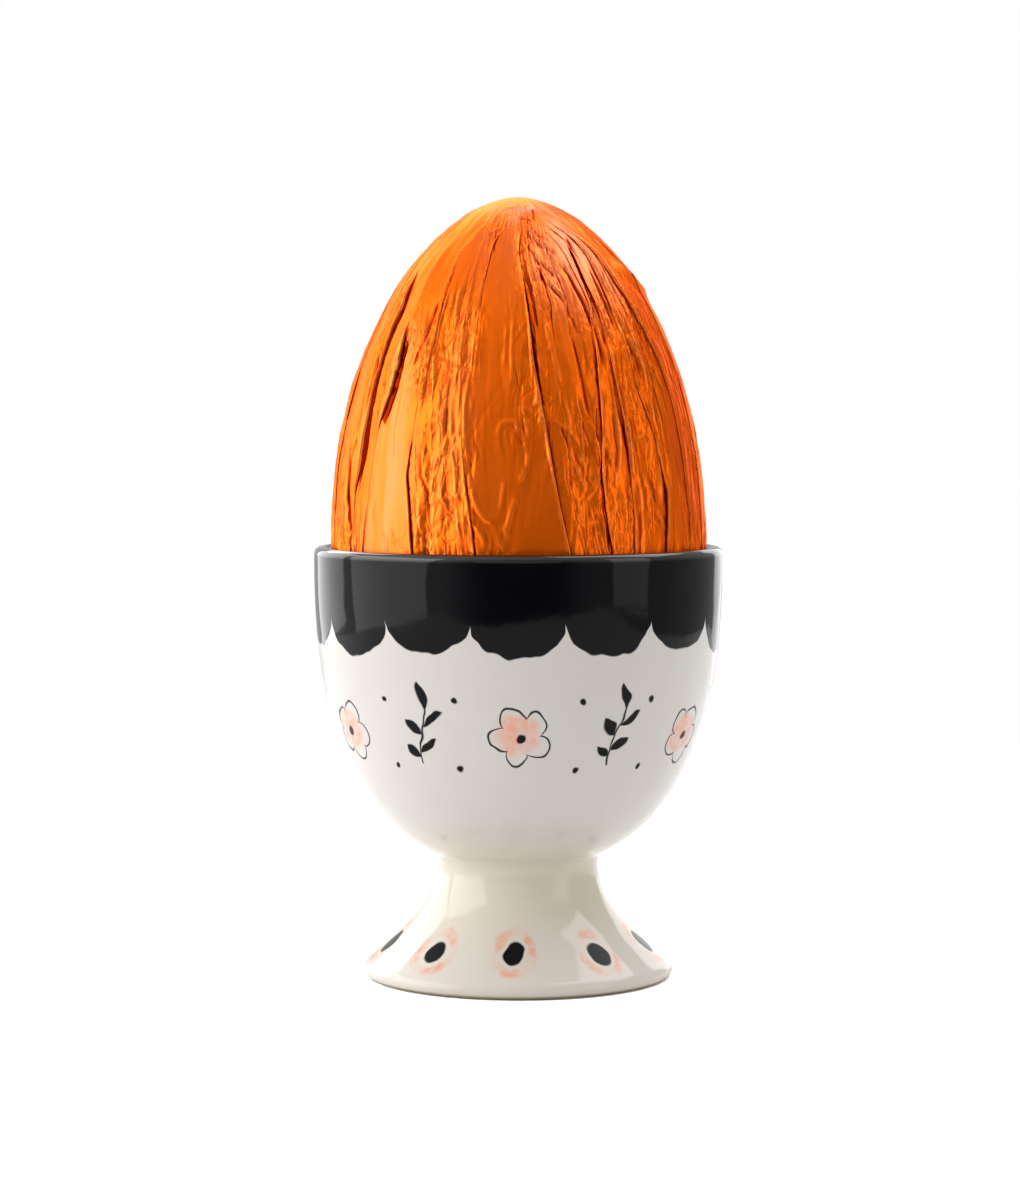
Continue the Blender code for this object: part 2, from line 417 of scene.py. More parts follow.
def nearest_on_path(x, y, path_x, path_y):
    """Distance to a path of straight runs, and where along it, 0 to 1, its nearest point lies."""
    lengths = np.hypot(np.diff(path_x), np.diff(path_y))
    nearest = np.full(x.shape, np.inf)
    along = np.zeros(x.shape)
    passed = 0.0
    for k, length in enumerate(lengths):
        dx, dy = (path_x[k + 1] - path_x[k]) / length, (path_y[k + 1] - path_y[k]) / length
        t = np.clip((x - path_x[k]) * dx + (y - path_y[k]) * dy, 0, length)
        away = np.hypot(x - path_x[k] - t * dx, y - path_y[k] - t * dy)
        closer = away < nearest
        nearest = np.where(closer, away, nearest)
        along = np.where(closer, (passed + t) / lengths.sum(), along)
        passed += length
    return nearest, along


# How far past a crease's ends the grid's rows are looked at.
CREASE_MARGIN = 2


def crease(grid, path, rise, half_width, ease=0.25):
    """A ridge, or with a negative rise a valley, with straight flanks along (azimuth, height) points."""
    azimuths = np.array([p[0] for p in path], float)
    arcs = arc_at([p[1] for p in path])
    near = (grid.arc.min(1) < arcs.max() + CREASE_MARGIN) & (grid.arc.max(1) > arcs.min() - CREASE_MARGIN)
    rows = np.where(near)[0]
    result = np.zeros_like(grid.arc)
    if not len(rows):
        return result
    rows = slice(rows[0], rows[-1] + 1)
    middle = math.radians(azimuths.mean())
    turn = (grid.turn[rows] - middle + math.pi) % (2 * math.pi) - math.pi
    path_x = (np.radians(azimuths) - middle) * np.interp(arcs, ARCS, RADII)
    nearest, along = nearest_on_path(turn * grid.radius[rows], grid.arc[rows], path_x, arcs)
    ends = smooth(along, 0, ease) * (1 - smooth(along, 1 - ease, 1))
    result[rows] = rise * np.clip(1 - nearest / half_width, 0, 1) * ends
    return result


# Creases that stand out on the front: rise, half width and the (azimuth, height) points they run through.
FRONT_CREASES = (
    (-0.75, 1.05, ((-58, 92), (-60, 88), (-61, 83), (-59, 77), (-57.5, 72), (-58.5, 67))),
    (-0.34, 0.80, ((-46.5, 86.5), (-46, 82), (-46.5, 79), (-48.5, 74))),
    (-0.50, 0.60, ((-67, 72.5), (-64.7, 68.7), (-64, 64.7), (-62.7, 60.4), (-60, 57))),
    (0.45, 2.10, ((60, 97), (76, 94), (94, 91.5))),
    (0.28, 0.80, ((-14, 103.6), (4, 103.0), (26, 103.6))),
    (-0.22, 0.32, ((-3, 101.9), (7, 101.5), (13, 101.3))),
    (-0.20, 0.28, ((17, 103.6), (16, 102.6), (13, 101.3))),
    (0.16, 0.32, ((-3.8, 101.5), (-1.8, 98.2), (-0.6, 94.5), (1, 91.5))),
    (0.16, 0.45, ((-7, 73), (-5, 75), (-1, 75), (1, 73.5), (3, 71.5))),
    (0.20, 0.45, ((3, 71.5), (2.5, 69.5), (0, 67))),
    (0.20, 0.50, ((0, 66.5), (-1.5, 64.5), (-3.5, 61.5), (-3.5, 59))),
    (0.14, 0.40, ((-4, 68), (-5, 65), (-5.5, 63.5))),
    (0.18, 0.55, ((-15, 70), (-14, 66), (-12, 64), (-9.5, 62.6), (-5, 62.8))),
    (0.16, 0.50, ((-15.5, 65), (-13.5, 62), (-10.5, 60.5), (-9.5, 58.5))),
    (0.10, 0.35, ((-3.5, 61.8), (-6.5, 60.4))),
    (0.12, 0.40, ((-2, 90), (-2.5, 84), (-2, 79))),
    (0.10, 0.35, ((-4.5, 88), (-5, 82))),
    (0.18, 0.50, ((-17, 82), (-17.5, 77), (-16.5, 71.5), (-13.5, 69.5))),
    (-0.12, 0.46, ((1.6, 100.7), (8, 99.2), (13.6, 98.2), (22.7, 96.7))),
    (0.18, 0.36, ((4, 101.2), (13, 99), (20, 98))),
    (-0.12, 0.30, ((5.5, 101.6), (12.2, 99.6), (18.9, 98.8))),
    (-0.12, 0.46, ((1.2, 100), (9.4, 96.3), (15.6, 94.8), (22, 92.5))),
    (0.18, 0.40, ((3, 99.5), (11, 96.5), (18, 94.8))),
    (-0.22, 0.40, ((33.7, 99.8), (32.8, 97.3), (32.9, 93.1))),
    (-0.11, 0.44, ((6.8, 96), (13.3, 93), (19.3, 90.9), (24, 86))),
    (0.13, 0.36, ((9, 96.2), (15.5, 93), (22, 90.5))),
    (-0.24, 0.42, ((22.3, 96.3), (26.8, 92.1), (30.6, 87), (31, 81))),
    (-0.22, 0.42, ((37.7, 95.5), (39.2, 92.2), (41, 86))),
    (-0.14, 0.34, ((3, 95), (6, 91), (8, 86))),
    (-0.12, 0.32, ((-17.6, 100.7), (-15, 98.8), (-13.8, 96.5))),
    (0.15, 0.45, ((9, 90), (12, 86), (13.5, 81), (13, 76))),
    (-0.16, 0.45, ((20, 88), (21.5, 83), (22.5, 78), (23.5, 74))),
    (0.14, 0.40, ((14, 73), (18, 69), (21, 64.5))),
    (-0.11, 0.34, ((15.5, 73), (20, 68.5), (24, 65.5))),
    (-0.11, 0.32, ((12.5, 76), (16, 71), (19, 66.5))),
    (-0.11, 0.32, ((19, 77), (22.5, 72), (25.5, 67.5))),
    (0.16, 0.40, ((11.5, 75), (16, 74), (19, 72))),
    (0.14, 0.35, ((38, 72.5), (42, 73), (45, 72.5))),
    (0.14, 0.35, ((39, 66), (43, 67), (45, 65.5))),
    (-0.18, 0.50, ((-35, 92), (-37, 86), (-40, 81))),
    (0.14, 0.55, ((-41, 81), (-41.5, 74), (-40, 68))),
    (0.14, 0.50, ((-28, 66.5), (-24, 65.5), (-20, 64))),
    (-0.20, 0.45, ((-32, 72), (-31, 68), (-28, 66), (-27, 63))),
    (0.22, 0.45, ((-34, 66), (-31, 65), (-31, 61), (-32.5, 58))),
    (-0.14, 0.40, ((-22, 70), (-22.5, 66), (-23, 60))),
    (0.10, 0.60, ((-45, 61.5), (-41, 59.8), (-36, 60.5))),
    (0.20, 0.50, ((36, 88.6), (40, 88.2))),
    (0.22, 2.20, ((14, 93), (17, 84), (19, 76))),
)

# Minor folds run down between the main ones: the spacing between them, their depths, lengths and lean
# (sideways over lengthways), the reach of their slopes on either side, half the width of their step,
# its heights, how far from it their form is drawn, and the share that lap to the right.
MINOR_SPACING = 1.5
MINOR_DEPTH = (0.08, 0.32)
MINOR_LENGTH = (10.0, 42.0)
MINOR_LEAN = 0.05
MINOR_REACH = (0.60, 0.35)
MINOR_EDGE = 0.10
MINOR_STEP = (0.55, -0.45)
MINOR_NEAR = 3.5
MINOR_RIGHT = 0.65


def lap_form(away):
    """Height across a lap of depth 1: it rises to its edge at 0, drops, and rises again behind it."""
    high, low = MINOR_STEP
    before = high * np.exp((away + MINOR_EDGE) / MINOR_REACH[0])
    behind = low * np.exp(-(away - MINOR_EDGE) / MINOR_REACH[1])
    step = np.interp(away, (-MINOR_EDGE, MINOR_EDGE), MINOR_STEP)
    return np.where(away < -MINOR_EDGE, before, np.where(away > MINOR_EDGE, behind, step))


def minor_folds(grid, crumpling):
    """Small laps between the main folds, each for part of the height, most where the foil is crumpled."""
    rng = np.random.default_rng(7)
    total = np.zeros_like(grid.arc)
    around = 2 * math.pi * EGG_RADIUS
    last = float(arc_at(VISIBLE_HEIGHT)) + 6
    line = 0.0
    while line < around:
        place = grid.across[0] + line
        line += rng.uniform(0.5, 1.5) * MINOR_SPACING
        start = rng.uniform(-4, 14)
        while start < last:
            length = rng.uniform(*MINOR_LENGTH)
            depth = rng.uniform(*MINOR_DEPTH)
            lean = rng.normal(0, MINOR_LEAN)
            side = 1 if rng.random() < MINOR_RIGHT else -1
            rows = np.arange(*np.searchsorted(grid.row_arc, (start, start + length)))
            away = (grid.across - place + around / 2) % around - around / 2
            near = np.where(np.abs(away) < MINOR_NEAR)[0]
            if len(rows) and rng.random() * 0.8 < crumpling[rows[len(rows) // 2], near[len(near) // 2]]:
                share = (grid.row_arc[rows] - start) / length
                along = smooth(share, 0, 0.3) * (1 - smooth(share, 0.6, 1))
                sway = lean * length * (share - 0.5) + 0.22 * np.sin(5 * share + start)
                form = lap_form(side * (away[near] - sway[:, None]))
                total[np.ix_(rows, near)] += form * (depth * along)[:, None]
            start += length * rng.uniform(0.6, 1.2)
            place += rng.uniform(-0.7, 0.7)
    return total


RANDOM_CREASES = 1100
CREASE_LENGTH = (2.0, 15.0)
CREASE_HALF_WIDTH = (0.25, 0.42)
CREASE_RISE = (0.06, 0.20)
CREASE_BEND = 0.35
CREASE_START = 4.0
CREASE_STEPS = np.linspace(-0.5, 0.5, 4)

# Most creases lean little from the meridian, in radians, and the others lean freely.
MERIDIAN_SHARE = 0.6
CREASE_LEAN = (0.16, 0.7)

# The share of the random creases that smooth foil keeps.
SMOOTH_SHARE = 0.12


def random_creases(grid, crumpling):
    """Short straight creases, most of them near the egg's meridians, fewer where the foil is smooth."""
    rng = np.random.default_rng(42)
    total = np.zeros_like(grid.arc)
    places = np.linspace(CREASE_START, float(arc_at(VISIBLE_HEIGHT)), 200)
    area = np.interp(places, ARCS, RADII).cumsum()
    for _ in range(RANDOM_CREASES):
        arc = float(np.interp(rng.random() * area[-1], area, places))
        azimuth = rng.uniform(-180, 180)
        length = rng.uniform(*CREASE_LENGTH)
        lean = rng.normal(0, CREASE_LEAN[0] if rng.random() < MERIDIAN_SHARE else CREASE_LEAN[1])
        width = rng.uniform(*CREASE_HALF_WIDTH)
        rise = rng.uniform(*CREASE_RISE) * rng.choice([-1, 1])
        bend = rng.normal(0, CREASE_BEND)
        arcs = np.clip(arc + length * CREASE_STEPS * math.cos(lean), 3, EGG_ARC - 3)
        radius = np.maximum(4, np.interp(arcs, ARCS, RADII))
        sideways = length * CREASE_STEPS * math.sin(lean) + bend * np.cos(3 * CREASE_STEPS)
        azimuths = azimuth + np.degrees(sideways / radius)
        path = [(a, float(np.interp(s, ARCS, HEIGHTS))) for a, s in zip(azimuths, arcs)]
        total += crease(grid, path, rise, width, ease=0.35)
    return total * (SMOOTH_SHARE + (1 - SMOOTH_SHARE) * crumpling)


# Wrinkles are V-shaped valleys that wander down the egg: spacing across, length, sway, depth and seed.
WRINKLES = (
    (2.2, 40.0, 1.4, 0.12, 21),
    (1.1, 26.0, 0.7, 0.06, 22),
)

# The sheets of flat facets: height, spacing, how far they are drawn out, seed, the share of their
# height that smooth foil keeps, and the power of the crumpling that the rest follows.
FACET_SHEETS = (
    (0.26, 4.6, 2.2, 5, 0.30, 1.0),
    (0.27, 1.5, 2.6, 6, 0.0, 1.0),
    (0.11, 0.9, 2.0, 7, 0.0, 1.3),
)

# Waves under the facets: soft ones, their height and reach, and long ones, their height and their reach
# across and along.
SOFT_WAVES = (0.14, 8.0)
LONG_WAVES = (0.09, 2.4, 15)

# How much of a main fold's or a listed front crease's depth counts as groove over its whole width.
# The material turns this groove into painted shade.
HOLLOW_SHARE = 0.5

# How many columns to either side a vertex is compared with, to find the grooves.
GROOVE_COLUMNS = 4


def around_axis(turn, reach, along):
    """Places for a pattern that goes round the axis without a break."""
    return np.stack([np.sin(turn) * reach, np.cos(turn) * reach, along], -1)


def wrinkles(grid, spacing, length, sway, seed):
    """0 along the wrinkles' bottoms and up to about 1 between them."""
    place = around_axis(grid.turn, 1, grid.arc / EGG_RADIUS) * EGG_RADIUS
    turn = grid.turn + sway / EGG_RADIUS * noise_field(place, 6.5, seed + 0.5) * 2
    place = around_axis(turn, EGG_RADIUS / spacing, grid.arc / length)
    return np.minimum(1, 2.2 * np.abs(noise_field(place, 1.0, seed)))


def grooves(relief):
    """How far each vertex lies below the foil close around it along the row, in millimetres."""
    weights = np.hanning(2 * GROOVE_COLUMNS + 3)[1:-1]
    weights = weights / weights.sum()
    around = sum(weight * np.roll(relief, k - GROOVE_COLUMNS, axis=1) for k, weight in enumerate(weights))
    return around - relief


# The arcs between which the relief comes in below the tip, at the front and round the sides.
FRONT_START = (4, 12)
SIDES_START = (12, 27)

# At the two sides the foil lies closer to the egg: how much of the relief goes, over how many degrees.
SIDE_CALM = 0.6
SIDE_WIDTH = 13


def tip_calm(grid):
    """0 near the tip and 1 below it. The folds at the front run up further than those round the sides."""
    azimuth = np.degrees(grid.turn)
    front = smooth(azimuth, -40, -20) * (1 - smooth(azimuth, 40, 75))
    return front * smooth(grid.arc, *FRONT_START) + (1 - front) * smooth(grid.arc, *SIDES_START)


def side_calm(grid):
    """Less than 1 beside the two sides."""
    azimuth = np.degrees(grid.turn)
    return 1 - SIDE_CALM * np.exp(-(((np.abs(azimuth) - 90) / SIDE_WIDTH) ** 2))


def foil_crumpling(grid):
    """How crumpled the foil is at every vertex: 0 where it is pulled smooth, 1 where it is crushed."""
    base = grid.points(grid.offset)
    patchy = smooth(noise_field(base, PATCH_SIZE, 1), -0.15, 0.35)
    crumpling = LEAST_CRUMPLING + (1 - LEAST_CRUMPLING) * patchy
    crumpling = np.clip(crumpling, 0, 1) * (1 - in_places(grid, SMOOTH_PLACES))
    return np.maximum(crumpling, in_places(grid, CRUSHED_PLACES)) * smooth(grid.arc, 2, 9)


def foil_highlight_share(grid):
    """How much a painted highlight makes the foil's colour paler at every vertex, from its places and
    towards the tip.
    """
    tip = sum(share * smooth(grid.height, low, high) for share, low, high in HIGHLIGHT_HEIGHTS)
    return np.maximum(in_places(grid, HIGHLIGHT_PLACES), tip)


def foil_lines(grid, crumpling):
    """Offsets of the foil's folds, wrinkles and creases at every vertex, in millimetres."""
    base = grid.points(grid.offset)
    lines = minor_folds(grid, crumpling) + random_creases(grid, crumpling)
    for spacing, length, sway, depth, seed in WRINKLES:
        strength = smooth(crumpling + 0.8 * noise_field(base, 6.0, seed), 0.15, 0.75)
        lines = lines + depth * (wrinkles(grid, spacing, length, sway, seed) - 0.5) * strength
    return lines * tip_calm(grid) * side_calm(grid) * before_end(grid.arc, 10)


def foil_facets(grid, crumpling):
    """Offsets of the foil's flat facets and soft waves at every vertex, in millimetres."""
    height, reach = SOFT_WAVES
    waves = height * noise_field(grid.points(grid.offset), reach, 2)
    height, across, along = LONG_WAVES
    turn = grid.turn
    bands = around_axis(turn, EGG_RADIUS, grid.arc) / (across, across, along)
    # The long waves are lower on the smooth strip down the middle of the front.
    beside = 0.4 + 0.6 * smooth(np.abs(np.degrees(turn) + 4), 8, 14)
    waves = waves + height * noise_field(bands, 1.0, 9) * beside
    for height, spacing, stretch, seed, kept, power in FACET_SHEETS:
        strength = kept + (1 - kept) * crumpling**power
        waves = waves + height * facets(grid, spacing, stretch, seed) * strength
    return waves * side_calm(grid) * smooth(grid.arc, 3, 10) * before_end(grid.arc, 10)


# ---------------- meshes


def mesh_object(name, points, faces, uv, material, measures=None):
    """A smooth piece from points in millimetres, with a map for each face corner.

    Its measures, where given, are numbers or vectors of each vertex, by name, which its material reads.
    """
    mesh = bpy.data.meshes.new(name)
    mesh.from_pydata((points * MM).tolist(), [], faces)
    mesh.shade_smooth()
    layer = mesh.uv_layers.new(name="OFBake")
    layer.uv.foreach_set("vector", uv.astype(np.float32).ravel())
    for title, values in (measures or {}).items():
        kind, field = ("FLOAT", "value") if values.ndim == 1 else ("FLOAT_VECTOR", "vector")
        attribute = mesh.attributes.new(title, kind, "POINT")
        attribute.data.foreach_set(field, values.astype(np.float32).ravel())
    mesh.materials.append(material)
    piece = bpy.data.objects.new(name, mesh)
    bpy.context.scene.collection.objects.link(piece)
    return piece


def capped_grid(points, top, low, closed):
    """Vertices, faces and map of a grid of points, with a fan of triangles to a point at either end."""
    rows, columns = points.shape[:2]
    spans = columns if closed else columns - 1
    vertices = np.vstack([points.reshape(-1, 3), top, low])
    top, low = rows * columns, rows * columns + 1
    faces, corners = [], []
    for row in range(rows - 1):
        above, below = row * columns, (row + 1) * columns
        for column in range(spans):
            after = (column + 1) % columns
            faces.append((above + column, below + column, below + after, above + after))
            corners += [(column, row), (column, row + 1), (column + 1, row + 1), (column + 1, row)]
    last = (rows - 1) * columns
    for column in range(spans):
        after = (column + 1) % columns
        faces.append((top, column, after))
        corners += [(column + 0.5, -1), (column, 0), (column + 1, 0)]
        faces.append((low, last + after, last + column))
        corners += [(column + 0.5, rows), (column + 1, rows - 1), (column, rows - 1)]
    corners = np.array(corners, float)
    uv = np.stack([corners[:, 0] / spans, 1 - (corners[:, 1] + 1) / (rows + 1)], -1)
    return vertices, faces, uv


def make_foil(material):
    """The foil in two pieces that meet along a fold's groove at each side of the egg."""
    grid = FoilGrid()
    crumpling = foil_crumpling(grid)
    lines = grid.offset + foil_lines(grid, crumpling)
    marks = sum(crease(grid, path, rise, half_width) for rise, half_width, path in FRONT_CREASES)
    points = grid.points(lines + marks + foil_facets(grid, crumpling))
    # How far each vertex lies below the foil around it: the material paints shade where it lies low and a
    # highlight where it stands up as a ridge.
    groove_shading = grooves(lines + marks) + HOLLOW_SHARE * (grid.hollow + np.maximum(0, -marks))
    # The measures that the material reads: where painted shade and ridge highlights go, how crumpled the
    # foil is, and how strong its paler painted highlight is.
    fields = {"groove_shading": groove_shading, "crumpling": crumpling, "painted_highlight": foil_highlight_share(grid)}
    way = around_axis(grid.turn, EGG_RADIUS, grid.arc)
    columns = len(grid.across)
    front, back = np.arange(grid.seam + 1), np.arange(grid.seam, columns + 1) % columns
    tip, end = points[0].mean(0), points[-1].mean(0)
    for name, span in (("foil_front", front), ("foil_back", back)):
        vertices, faces, uv = capped_grid(points[:, span], tip, end, closed=False)
        measures = {title: np.append(field[:, span].ravel(), (0, 0)) for title, field in fields.items()}
        measures["way"] = np.vstack([way[:, span].reshape(-1, 3), (0, 0, 0), (0, 0, EGG_ARC)])
        piece = mesh_object(name, vertices, faces, uv, material, measures)
        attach(piece, "root")
        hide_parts("foil_egg")


# ---------------- the cup's form

BOWL_DEPTH = 42.5
BOWL_OUTSIDE = (2.45, 0.40)
BOWL_INSIDE = (2.45, 0.42)
CUP_FLOOR = 19.8
NECK_RADIUS = 10.85
NECK_TOP = 15.2
FOOT_RADIUS = 21.0
FOOT_EDGE = 1.2
FOOT_RING = 3.0
RECESS_DEPTH = 1.8
CUP_STEP = 0.42
CUP_COLUMNS = 288


def arc_points(centre, radius, start, end, count):
    turn = np.radians(np.linspace(start, end, count))
    return np.stack([centre[0] + radius * np.cos(turn), centre[1] + radius * np.sin(turn)], -1)


def bezier(p0, p1, p2, p3, count=60):
    t = np.linspace(0, 1, count)[:, None]
    p0, p1, p2, p3 = (np.array(p, float) for p in (p0, p1, p2, p3))
    return (1 - t) ** 3 * p0 + 3 * t * (1 - t) ** 2 * p1 + 3 * t * t * (1 - t) * p2 + t**3 * p3


def bowl_wall(radius, top, depth, curve, last_radius, count=200):
    sharpness, fullness = curve
    last_share = (1 - (last_radius / radius) ** (1 / fullness)) ** (1 / sharpness)
    share = np.sin(np.linspace(0, math.asin(last_share), count))
    return np.stack([radius * (1 - share**sharpness) ** fullness, top - depth * share], -1)


def cup_profile():
    """Half section of the cup, from the middle of its inside over the lip to the middle underneath."""
    lip = RIM_WALL / 2
    top = RIM_HEIGHT - lip
    inside = bowl_wall(RIM_RADIUS - RIM_WALL, top, top - CUP_FLOOR, BOWL_INSIDE, 0.0)
    rim = arc_points((RIM_RADIUS - lip, top), lip, 180, 0, 30)
    outside = bowl_wall(RIM_RADIUS, top, BOWL_DEPTH, BOWL_OUTSIDE, NECK_RADIUS + 1.3)
    neck = (NECK_RADIUS, NECK_TOP)
    bowl_end = outside[-1]
    fillet = bezier(bowl_end, (NECK_RADIUS + 0.4, bowl_end[1] - 0.3), (NECK_RADIUS, NECK_TOP + 0.8), neck)
    edge = arc_points((FOOT_RADIUS - FOOT_EDGE, FOOT_EDGE), FOOT_EDGE, 49, -90, 30)
    flare = bezier(neck, (NECK_RADIUS, NECK_TOP - 4.6), (edge[0][0] - 5.6, edge[0][1] + 4.5), edge[0])
    ring_inside = FOOT_RADIUS - FOOT_EDGE - FOOT_RING
    underside = np.array([(ring_inside, 0.0), (ring_inside - 0.6, RECESS_DEPTH), (0.0, RECESS_DEPTH)])
    return np.vstack([inside[::-1], rim[1:], outside[1:], fillet[1:], flare[1:], edge[1:], underside])


def make_cup(material):
    """The cup: its half section turned about the axis in close steps."""
    section = cup_profile()
    arc = running_total(np.hypot(*np.diff(section, axis=0).T))
    rows = round(arc[-1] / CUP_STEP)
    even = np.linspace(0, arc[-1], rows + 2)[1:-1]
    radius = np.interp(even, arc, section[:, 0])
    height = np.interp(even, arc, section[:, 1])
    turn = np.linspace(0, 2 * math.pi, CUP_COLUMNS, endpoint=False)
    x = radius[:, None] * np.sin(turn)
    y = -radius[:, None] * np.cos(turn)
    z = np.repeat(height[:, None], CUP_COLUMNS, 1)
    inside, underside = (0, 0, section[0][1]), (0, 0, section[-1][1])
    vertices, faces, uv = capped_grid(np.stack([x, y, z], -1), inside, underside, closed=True)
    cup = mesh_object("ceramic_cup", vertices, faces, uv, material)
    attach(cup, "root")
    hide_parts("egg_cup")


# ---------------- materials


class Output:
    """A node's output, which takes part in sums written as in Python."""

    def __init__(self, nodes, socket):
        self.nodes = nodes
        self.socket = socket

    def __add__(self, other):
        return self.nodes.math("ADD", self, other)

    def __sub__(self, other):
        return self.nodes.math("SUBTRACT", self, other)

    def __rsub__(self, other):
        return self.nodes.math("SUBTRACT", other, self)

    def __mul__(self, other):
        return self.nodes.math("MULTIPLY", self, other)

    def __abs__(self):
        return self.nodes.math("ABSOLUTE", self)


class Nodes:
    """Short ways to add shader nodes to a material or a world."""

    def __init__(self, owner):
        owner.use_nodes = True
        self.owner = owner
        self.tree = owner.node_tree

    def put(self, node, inputs):
        """Link or set a node's named or numbered inputs."""
        for name, value in inputs.items():
            if isinstance(value, Output):
                self.tree.links.new(value.socket, node.inputs[name])
            else:
                node.inputs[name].default_value = value

    def add(self, kind, inputs=None, output=0, **settings):
        """The output of a new node with its settings and inputs."""
        node = self.tree.nodes.new(kind)
        for name, value in settings.items():
            setattr(node, name, value)
        self.put(node, inputs or {})
        return Output(self, node.outputs[output])

    def math(self, operation, *values):
        return self.add("ShaderNodeMath", dict(enumerate(values)), operation=operation)

    def highest(self, first, *others):
        for other in others:
            first = self.math("MAXIMUM", first, other)
        return first

    def vector(self, operation, *values):
        return self.add("ShaderNodeVectorMath", dict(enumerate(values)), operation=operation)

    def stretched(self, place, across, along):
        """A place scaled so that a pattern of size 1 is across by along millimetres."""
        return self.vector("MULTIPLY", place, (1 / across, 1 / across, 1 / along))

    def split(self, place):
        node = self.add("ShaderNodeSeparateXYZ", {0: place}).socket.node
        return [Output(self, socket) for socket in node.outputs]

    def noise(self, place, scale=1.0, detail=2.0, output="Fac"):
        return self.add("ShaderNodeTexNoise", {"Vector": place, "Scale": scale, "Detail": detail}, output)

    def cell_edge(self, place):
        """Distance to the nearest edge between the cells of a pattern of size 1."""
        inputs = {"Vector": place, "Scale": 1.0}
        return self.add("ShaderNodeTexVoronoi", inputs, "Distance", feature="DISTANCE_TO_EDGE")

    def measure(self, name, output="Fac"):
        """A number or vector that the mesh has for each vertex."""
        return self.add("ShaderNodeAttribute", output=output, attribute_name=name)

    def ramp(self, value, low, high, start=0.0, end=1.0):
        """Start at low, end at high, and a smooth way between."""
        inputs = {"Value": value, "From Min": low, "From Max": high, "To Min": start, "To Max": end}
        return self.add("ShaderNodeMapRange", inputs, "Result", interpolation_type="SMOOTHSTEP")

    def mix(self, share, first, second):
        """A colour between two."""
        return self.add("ShaderNodeMix", {"Factor": share, 6: first, 7: second}, 2, data_type="RGBA")

    def surface(self, inputs, height):
        """Set the material's shader, with a relief of a height in millimetres."""
        normal = self.add("ShaderNodeBump", {"Height": height, "Distance": MM, "Strength": 1.0})
        self.put(self.tree.nodes["Principled BSDF"], inputs | {"Normal": normal})

    def finish(self, kind, thrown, shown):
        """End the tree in one shader for the light that it throws and one for what the camera shows."""
        seen = self.add("ShaderNodeLightPath", output="Is Camera Ray")
        mixed = self.add("ShaderNodeMixShader", {0: seen, 1: thrown, 2: shown})
        self.put(self.tree.nodes.new(kind), {"Surface": mixed})


# The foil's own orange, the painted shade in its creases, the painted highlight that makes it paler, the
# painted highlight on its ridges, the palest painted highlight at its tip, and the tint of its reflection
# at grazing angles.
FOIL_ORANGE = (0.93, 0.140, 0.0015, 1)
FOIL_CREASE_SHADE = (0.27, 0.012, 0.0005, 1)
FOIL_HIGHLIGHT = (0.97, 0.235, 0.10, 1)
FOIL_RIDGE_HIGHLIGHT = (1.0, 0.26, 0.042, 1)
FOIL_TIP_HIGHLIGHT = (0.84, 0.26, 0.18, 1)
FOIL_EDGE_TINT = (0.90, 0.42, 0.07, 1)
FOIL_ROUGHNESS = 0.35
FOIL_COAT = 0.09
FOIL_COAT_ROUGHNESS = 0.25

# Depths of groove in millimetres, between which painted shade darkens the colour on smooth foil and then
# everywhere, and heights of ridge between which a painted highlight makes it light.
SMOOTH_GROOVE_SHADE = (0.018, 0.09)
ANY_GROOVE_SHADE = (0.08, 0.16)
RIDGE_HIGHLIGHT = (-0.015, -0.06)

# The hair-fine relief, in millimetres.
LONG_LINE_DEPTH = 0.05
SHORT_LINE_DEPTH = 0.04
GRAIN_DEPTH = 0.03


